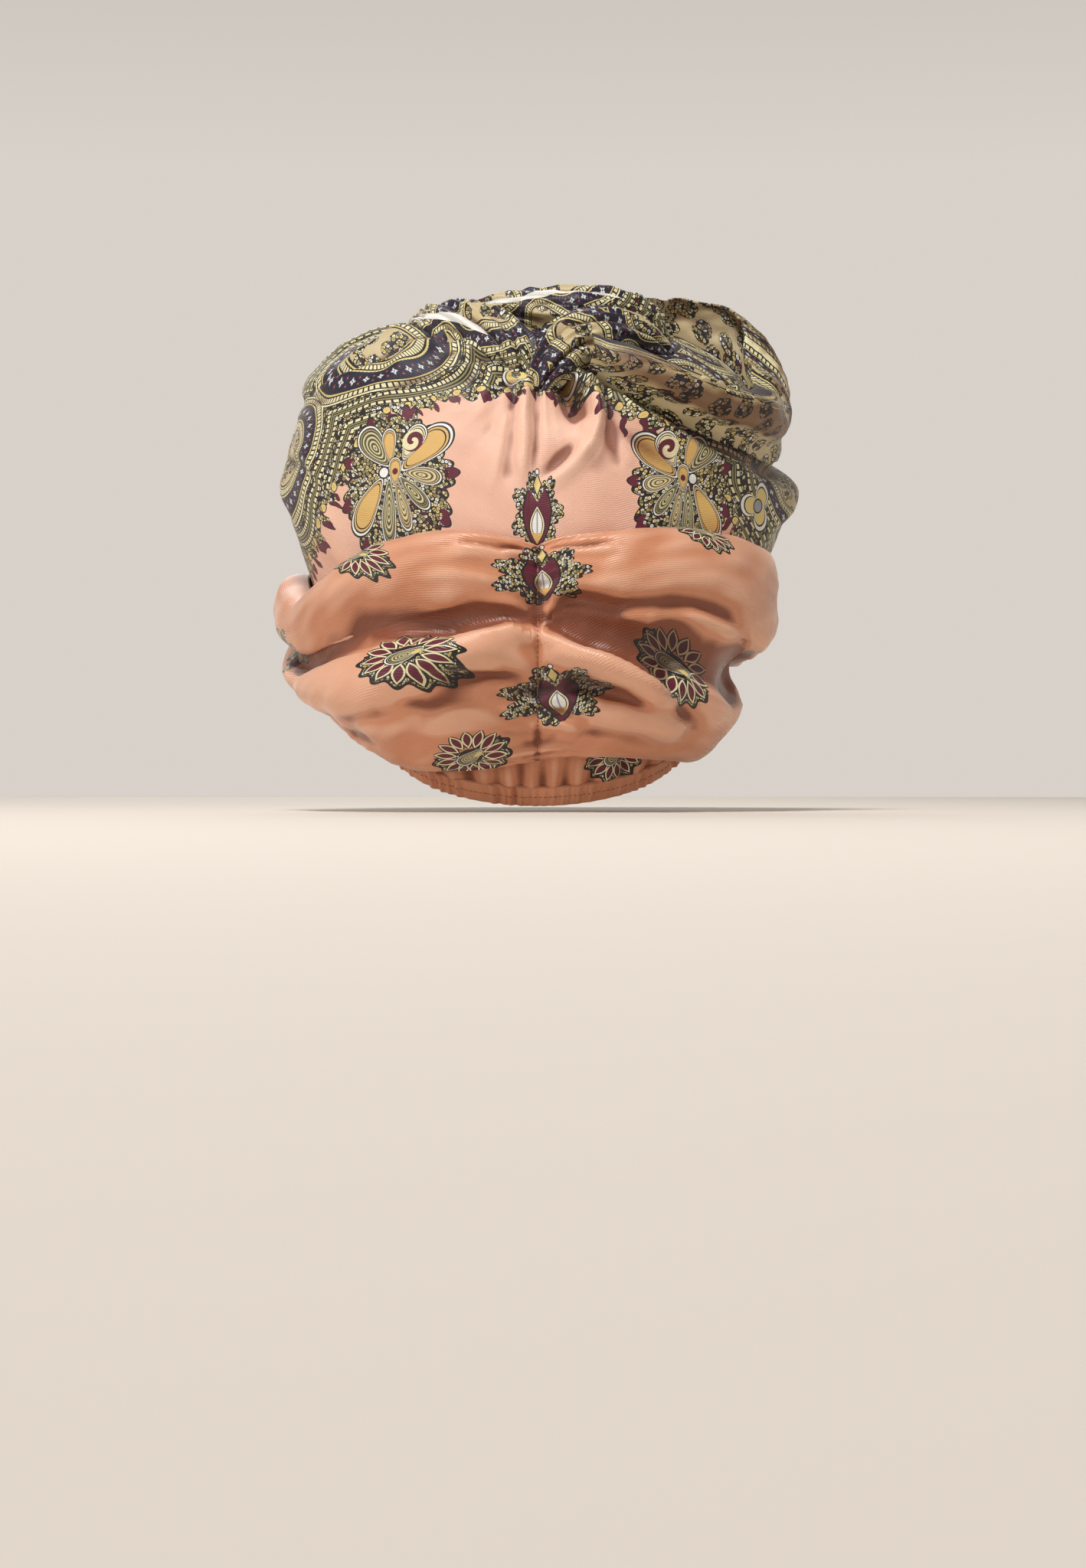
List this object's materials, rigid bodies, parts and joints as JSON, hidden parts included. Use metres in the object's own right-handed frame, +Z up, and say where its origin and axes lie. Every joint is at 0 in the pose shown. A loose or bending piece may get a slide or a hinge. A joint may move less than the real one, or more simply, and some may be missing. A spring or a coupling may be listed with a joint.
{
  "type": "turban headwrap",
  "caption": "Ready-wrapped soft turban with a gathered crown, a knot and open bow loop on top, a draped back fold ruched at the centre and an elastic nape.",
  "frame": {"origin": "middle of the head opening, level with the brow hem; the wearer's head comes up through it from below", "axes": "+Z up along the head, -Y the way the wearer faces, +X the wearer's left"},
  "size_m": [0.2565, 0.2293, 0.2546],
  "materials": {
    "printed_silk": "crepe silk, peach ground with paisley borders",
    "back_silk": "satin-faced silk, peach ground with scattered motifs",
    "border_silk": "crepe silk, dark paisley border print"
  },
  "bodies": {
    "root": {"crown": "printed_silk", "back_pouch": "back_silk", "bow_loop": "border_silk", "knot_left_strand": "border_silk", "knot_right_strand": "border_silk", "knot_top_roll": "border_silk", "nape_casing": "back_silk", "brow_hem": "border_silk"}
  },
  "joints": []
}
